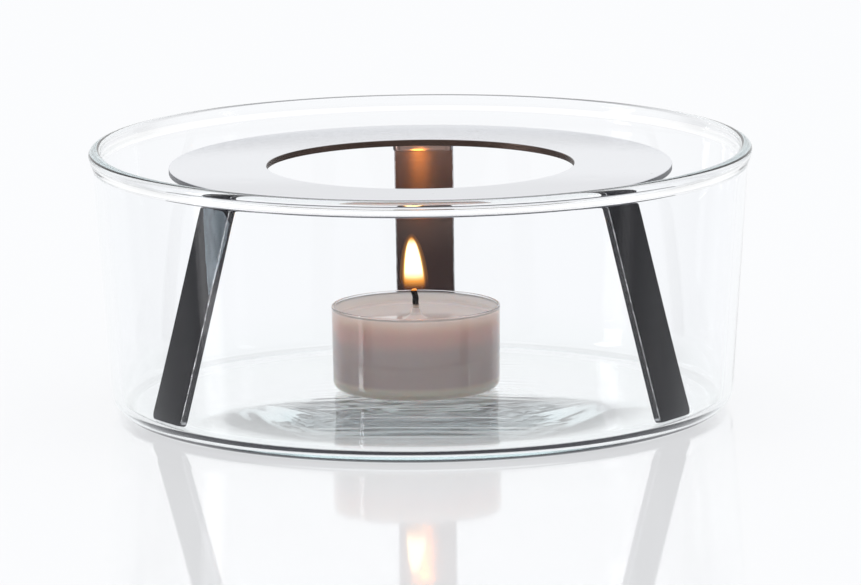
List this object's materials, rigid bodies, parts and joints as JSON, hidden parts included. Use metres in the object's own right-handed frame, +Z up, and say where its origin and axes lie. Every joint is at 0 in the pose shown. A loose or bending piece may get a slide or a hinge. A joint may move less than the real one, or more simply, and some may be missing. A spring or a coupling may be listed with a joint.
{
  "type": "tea warmer",
  "caption": "Open glass bowl tea warmer with a lift-out steel pot ring on splayed strip legs and a tealight in a clear cup.",
  "frame": {"origin": "on the table, in the middle of the bowl's foot ring", "axes": "+Z up along the bowl's axis, +Y towards the rear leg, so that -Y is the front"},
  "size_m": [0.149, 0.149, 0.06],
  "materials": {
    "bowl_glass": "clear polished glass",
    "ring_steel": "satin stainless steel",
    "leg_steel": "brushed stainless steel, grain across the strip",
    "cup_plastic": "clear moulded plastic",
    "wax": "translucent wax with a glossy molten pool",
    "wick_cotton": "braided cotton, charred at the top",
    "clip_tinplate": "thin stamped sheet"
  },
  "bodies": {
    "bowl": {"glass_bowl": "bowl_glass"},
    "stand": {"support_ring": "ring_steel", "leg_rear": "leg_steel", "leg_left": "leg_steel", "leg_right": "leg_steel"},
    "tealight": {"tealight_cup": "cup_plastic", "tealight_wax": "wax", "wick": "wick_cotton", "wick_clip": "clip_tinplate"}
  },
  "joints": [
    {"name": "stand_lift", "type": "slide", "parent": "bowl", "child": "stand", "axis": [0, 0, 1], "range_m": [0, 0.075]},
    {"name": "tealight_lift", "type": "slide", "parent": "bowl", "child": "tealight", "axis": [0, 0, 1], "range_m": [0, 0.07]}
  ]
}
